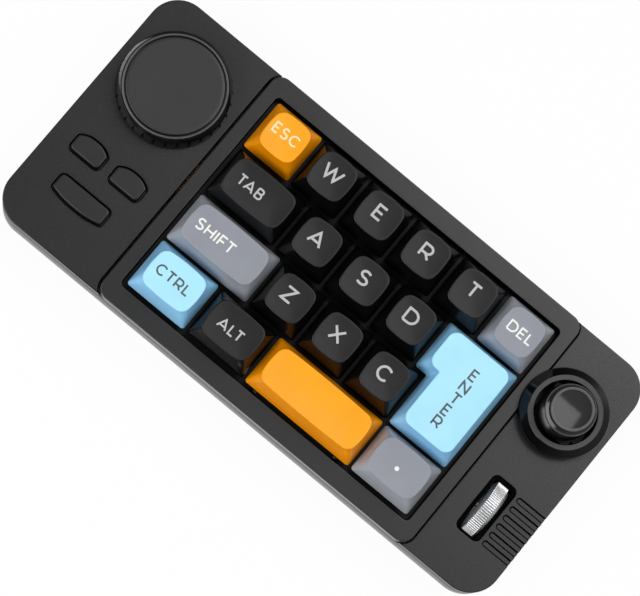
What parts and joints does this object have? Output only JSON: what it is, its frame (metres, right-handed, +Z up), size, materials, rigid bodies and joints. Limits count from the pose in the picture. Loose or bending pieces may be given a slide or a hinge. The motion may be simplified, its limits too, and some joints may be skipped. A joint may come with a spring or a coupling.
{
  "type": "macro keypad with knobs",
  "caption": "Desk keypad with coloured keys in a raised frame, a turning knob and push buttons at one side, and a thumb joystick and scroll wheel at the other.",
  "frame": {"origin": "middle of the case's footprint, on the plane that the rubber feet stand on", "axes": "+X to the right along the long side, +Y to the back edge, +Z up out of the keys"},
  "size_m": [0.1976, 0.0908, 0.0361],
  "materials": {
    "case_plastic": "fine textured charcoal plastic",
    "plate_metal": "satin grey plate",
    "board": "green solder mask",
    "flex": "amber flat cable",
    "chip": "black moulded package",
    "steel": "plain bright steel",
    "switch_plastic": "black moulded plastic",
    "knob_gloss": "glossy black skirt",
    "knob_matte": "satin charcoal disc",
    "button_plastic": "fine textured charcoal plastic",
    "collar_gloss": "glossy charcoal",
    "gimbal_plastic": "natural bearing plastic",
    "stick_dome": "satin charcoal dome",
    "stick_rubber": "soft charcoal cap",
    "wheel_metal": "ribbed bare metal",
    "foot_rubber": "soft black rubber",
    "cap_orange": "satin orange keycap",
    "cap_blue": "satin light blue keycap",
    "cap_grey": "satin grey keycap",
    "cap_black": "satin black keycap"
  },
  "bodies": {
    "case": {"bottom_case": "case_plastic", "centre_frame": "case_plastic", "left_cover": "case_plastic", "right_cover": "case_plastic", "switch_plate": "plate_metal", "main_board": "board", "left_board": "board", "right_board": "board", "link_flexes": "flex", "board_chips": "chip", "cable_socket": "steel", "switch_housings": "switch_plastic", "switch_springs": "steel", "stabiliser_clips": "switch_plastic", "encoder_body": "steel", "encoder_nut": "steel", "tact_switches": "switch_plastic", "joystick_collar": "collar_gloss", "joystick_housing": "switch_plastic", "joystick_spring": "steel", "wheel_cradle": "switch_plastic", "wheel_encoder": "board", "case_screws": "steel", "rubber_feet": "foot_rubber"},
    "esc_key": {"key_esc": "cap_orange"},
    "w_key": {"key_w": "cap_black"},
    "e_key": {"key_e": "cap_black"},
    "r_key": {"key_r": "cap_black"},
    "t_key": {"key_t": "cap_black"},
    "del_key": {"key_del": "cap_grey"},
    "tab_key": {"key_tab": "cap_black"},
    "a_key": {"key_a": "cap_black"},
    "s_key": {"key_s": "cap_black"},
    "d_key": {"key_d": "cap_black"},
    "enter_key": {"key_enter": "cap_blue"},
    "shift_key": {"key_shift": "cap_grey"},
    "z_key": {"key_z": "cap_black"},
    "x_key": {"key_x": "cap_black"},
    "c_key": {"key_c": "cap_black"},
    "ctrl_key": {"key_ctrl": "cap_blue"},
    "alt_key": {"key_alt": "cap_black"},
    "space_key": {"key_space": "cap_orange"},
    "dot_key": {"key_dot": "cap_grey"},
    "space_wire_bar": {"space_wire": "steel"},
    "enter_wire_bar": {"enter_wire": "steel"},
    "knob": {"knob_skirt": "knob_gloss", "knob_disc": "knob_matte", "encoder_shaft": "steel"},
    "left_button": {"button_left": "button_plastic"},
    "right_button": {"button_right": "button_plastic"},
    "wide_button": {"button_wide": "button_plastic"},
    "stick_gimbal": {"joystick_gimbal": "gimbal_plastic"},
    "stick": {"joystick_shaft": "steel", "joystick_dome": "stick_dome", "joystick_cap": "stick_rubber"},
    "wheel": {"scroll_wheel": "wheel_metal", "wheel_axle": "steel"}
  },
  "joints": [
    {"name": "key_esc_press", "type": "slide", "parent": "case", "child": "esc_key", "axis": [0, 0, -1], "range_m": [0, 0.004], "stiffness_N_per_m": 80, "springref_m": -0.006, "deforming": ["switch_springs"]},
    {"name": "key_w_press", "type": "slide", "parent": "case", "child": "w_key", "axis": [0, 0, -1], "range_m": [0, 0.004], "stiffness_N_per_m": 80, "springref_m": -0.006},
    {"name": "key_e_press", "type": "slide", "parent": "case", "child": "e_key", "axis": [0, 0, -1], "range_m": [0, 0.004], "stiffness_N_per_m": 80, "springref_m": -0.006},
    {"name": "key_r_press", "type": "slide", "parent": "case", "child": "r_key", "axis": [0, 0, -1], "range_m": [0, 0.004], "stiffness_N_per_m": 80, "springref_m": -0.006},
    {"name": "key_t_press", "type": "slide", "parent": "case", "child": "t_key", "axis": [0, 0, -1], "range_m": [0, 0.004], "stiffness_N_per_m": 80, "springref_m": -0.006},
    {"name": "key_del_press", "type": "slide", "parent": "case", "child": "del_key", "axis": [0, 0, -1], "range_m": [0, 0.004], "stiffness_N_per_m": 80, "springref_m": -0.006},
    {"name": "key_tab_press", "type": "slide", "parent": "case", "child": "tab_key", "axis": [0, 0, -1], "range_m": [0, 0.004], "stiffness_N_per_m": 80, "springref_m": -0.006},
    {"name": "key_a_press", "type": "slide", "parent": "case", "child": "a_key", "axis": [0, 0, -1], "range_m": [0, 0.004], "stiffness_N_per_m": 80, "springref_m": -0.006},
    {"name": "key_s_press", "type": "slide", "parent": "case", "child": "s_key", "axis": [0, 0, -1], "range_m": [0, 0.004], "stiffness_N_per_m": 80, "springref_m": -0.006},
    {"name": "key_d_press", "type": "slide", "parent": "case", "child": "d_key", "axis": [0, 0, -1], "range_m": [0, 0.004], "stiffness_N_per_m": 80, "springref_m": -0.006},
    {"name": "key_enter_press", "type": "slide", "parent": "case", "child": "enter_key", "axis": [0, 0, -1], "range_m": [0, 0.004], "stiffness_N_per_m": 80, "springref_m": -0.006},
    {"name": "key_shift_press", "type": "slide", "parent": "case", "child": "shift_key", "axis": [0, 0, -1], "range_m": [0, 0.004], "stiffness_N_per_m": 80, "springref_m": -0.006},
    {"name": "key_z_press", "type": "slide", "parent": "case", "child": "z_key", "axis": [0, 0, -1], "range_m": [0, 0.004], "stiffness_N_per_m": 80, "springref_m": -0.006},
    {"name": "key_x_press", "type": "slide", "parent": "case", "child": "x_key", "axis": [0, 0, -1], "range_m": [0, 0.004], "stiffness_N_per_m": 80, "springref_m": -0.006},
    {"name": "key_c_press", "type": "slide", "parent": "case", "child": "c_key", "axis": [0, 0, -1], "range_m": [0, 0.004], "stiffness_N_per_m": 80, "springref_m": -0.006},
    {"name": "key_ctrl_press", "type": "slide", "parent": "case", "child": "ctrl_key", "axis": [0, 0, -1], "range_m": [0, 0.004], "stiffness_N_per_m": 80, "springref_m": -0.006},
    {"name": "key_alt_press", "type": "slide", "parent": "case", "child": "alt_key", "axis": [0, 0, -1], "range_m": [0, 0.004], "stiffness_N_per_m": 80, "springref_m": -0.006},
    {"name": "key_space_press", "type": "slide", "parent": "case", "child": "space_key", "axis": [0, 0, -1], "range_m": [0, 0.004], "stiffness_N_per_m": 80, "springref_m": -0.006},
    {"name": "key_dot_press", "type": "slide", "parent": "case", "child": "dot_key", "axis": [0, 0, -1], "range_m": [0, 0.004], "stiffness_N_per_m": 80, "springref_m": -0.006},
    {"name": "space_wire_turn", "type": "hinge", "parent": "case", "child": "space_wire_bar", "pos_m": [0.01908, -0.03717, 0.01216], "axis": [1, 0, 0], "range_deg": [-27.4, 0]},
    {"name": "enter_wire_turn", "type": "hinge", "parent": "case", "child": "enter_wire_bar", "pos_m": [0.06101, 0, 0.01216], "axis": [0, 1, 0], "range_deg": [-27.4, 0]},
    {"name": "knob_turn", "type": "hinge", "parent": "case", "child": "knob", "pos_m": [-0.0773, 0.0195, 0.01726], "axis": [0, 0, 1], "continuous": true},
    {"name": "button_left_press", "type": "slide", "parent": "case", "child": "left_button", "axis": [0, 0, -1], "range_m": [0, 0.0008], "stiffness_N_per_m": 900, "springref_m": -0.0012},
    {"name": "button_right_press", "type": "slide", "parent": "case", "child": "right_button", "axis": [0, 0, -1], "range_m": [0, 0.0008], "stiffness_N_per_m": 900, "springref_m": -0.0012},
    {"name": "button_wide_press", "type": "slide", "parent": "case", "child": "wide_button", "axis": [0, 0, -1], "range_m": [0, 0.0008], "stiffness_N_per_m": 900, "springref_m": -0.0012},
    {"name": "stick_front_back", "type": "hinge", "parent": "case", "child": "stick_gimbal", "pos_m": [0.0821, 0.01905, 0.0137], "axis": [1, 0, 0], "range_deg": [-18, 18], "stiffness_Nm_per_rad": 0.04, "deforming": ["joystick_spring"]},
    {"name": "stick_left_right", "type": "hinge", "parent": "stick_gimbal", "child": "stick", "pos_m": [0.0821, 0.01905, 0.0137], "axis": [0, 1, 0], "range_deg": [-18, 18], "stiffness_Nm_per_rad": 0.04},
    {"name": "wheel_turn", "type": "hinge", "parent": "case", "child": "wheel", "pos_m": [0.0821, -0.0197, 0.01277], "axis": [1, 0, 0], "continuous": true}
  ],
  "couplings": [
    {"joint": "space_wire_turn", "follows": "key_space_press", "rad_per_m": -118.68},
    {"joint": "enter_wire_turn", "follows": "key_enter_press", "rad_per_m": -118.68}
  ]
}
